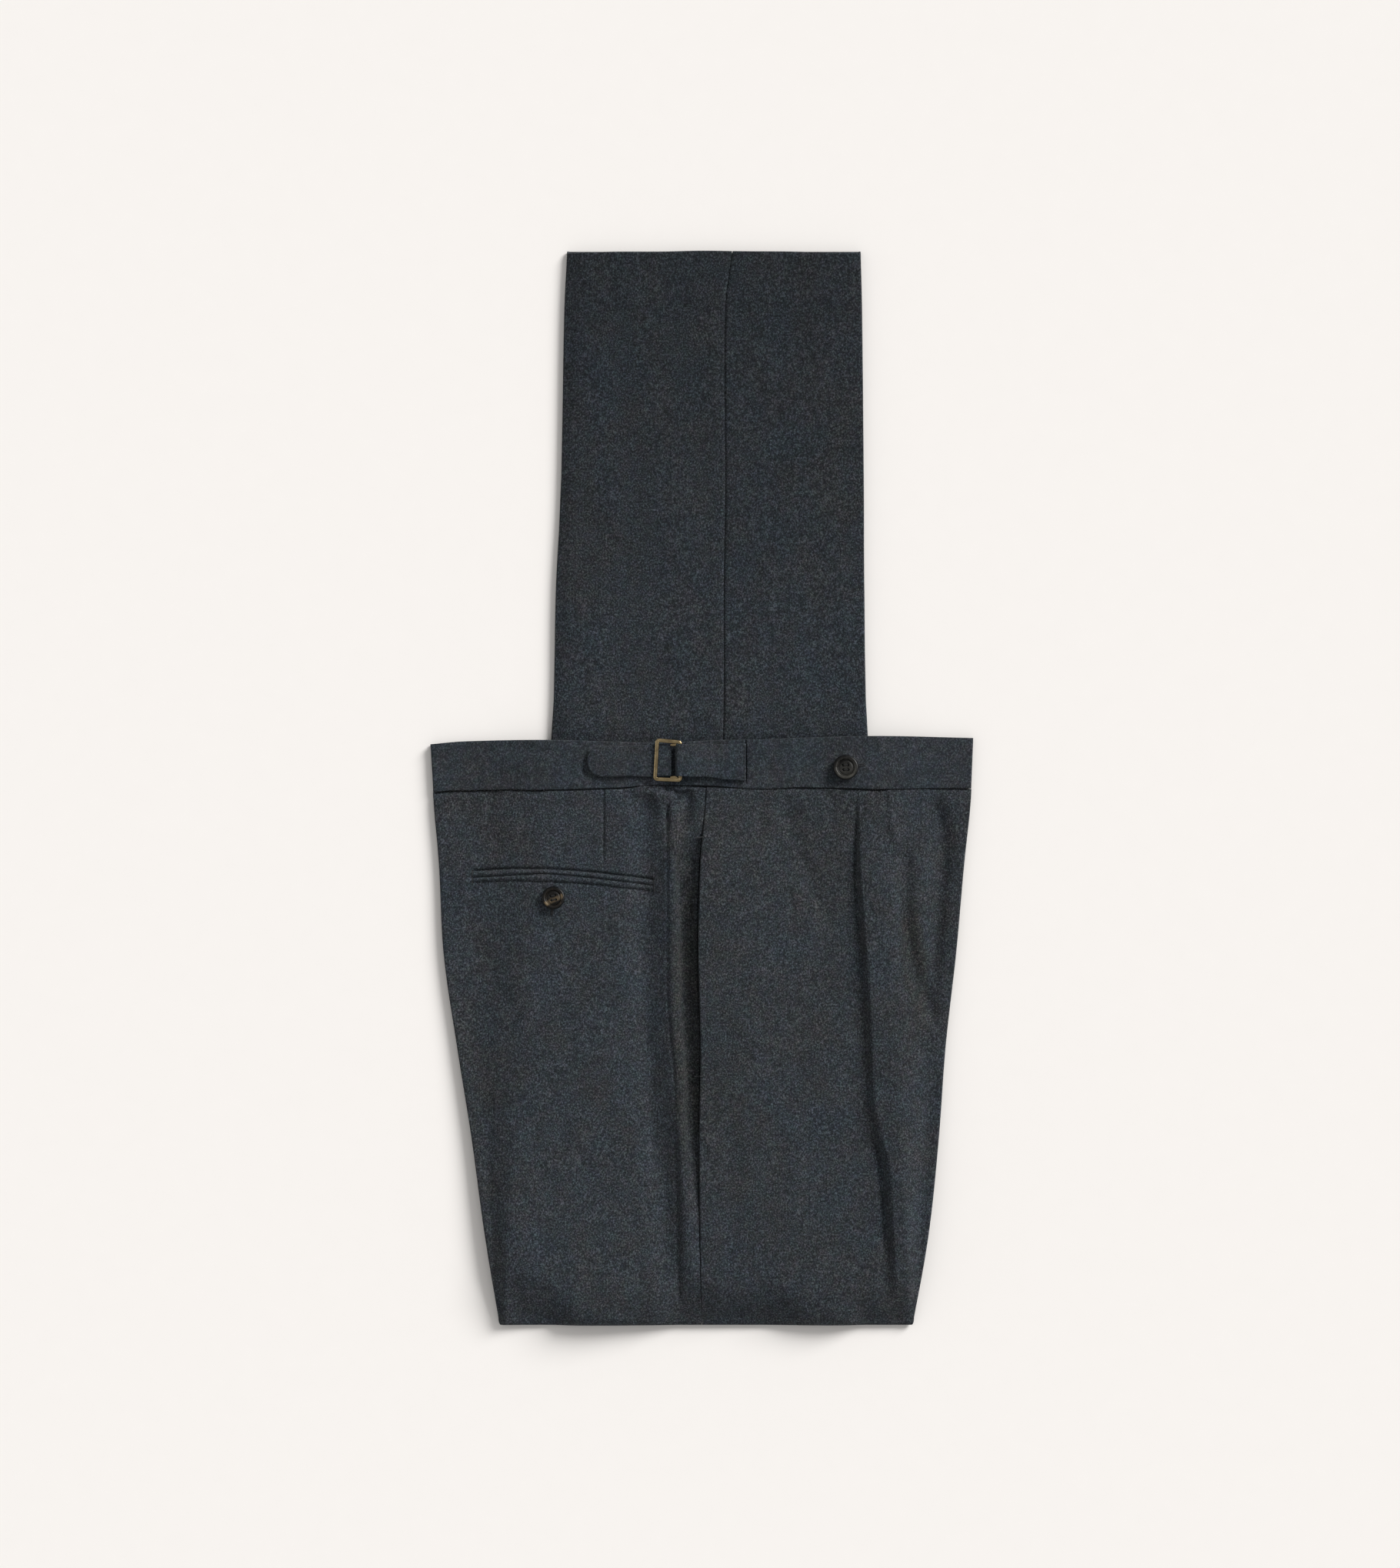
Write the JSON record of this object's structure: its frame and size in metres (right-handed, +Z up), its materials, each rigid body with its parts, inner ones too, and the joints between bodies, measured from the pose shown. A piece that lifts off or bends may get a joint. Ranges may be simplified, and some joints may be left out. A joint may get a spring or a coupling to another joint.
{
  "type": "folded pleated trousers",
  "caption": "Pleated wool trousers with a side adjuster, folded in half along the creases and again at the knee, lying flat with the right side up.",
  "frame": {"origin": "middle of the garment's footprint on the surface it lies on", "axes": "+X from the back crease to the front crease, +Y from the knee fold over the waistband to the hems, +Z up from the surface"},
  "size_m": [0.3894, 0.7694, 0.0184],
  "materials": {
    "flannel": "napped dark blue-grey melange wool flannel",
    "brass": "satin antique brass",
    "horn": "polished dark brown horn with paler streaks"
  },
  "bodies": {
    "root": {"right_back": "flannel", "right_front": "flannel", "left_back": "flannel", "left_front": "flannel", "hidden_layers": "flannel", "waistband_left": "flannel", "waistband_right": "flannel", "back_pocket_upper_jet": "flannel", "back_pocket_lower_jet": "flannel", "side_pocket_facing": "flannel", "adjuster_strap": "flannel", "adjuster_tab": "flannel", "adjuster_buckle": "brass", "waistband_button": "horn", "back_pocket_button": "horn"}
  },
  "joints": []
}
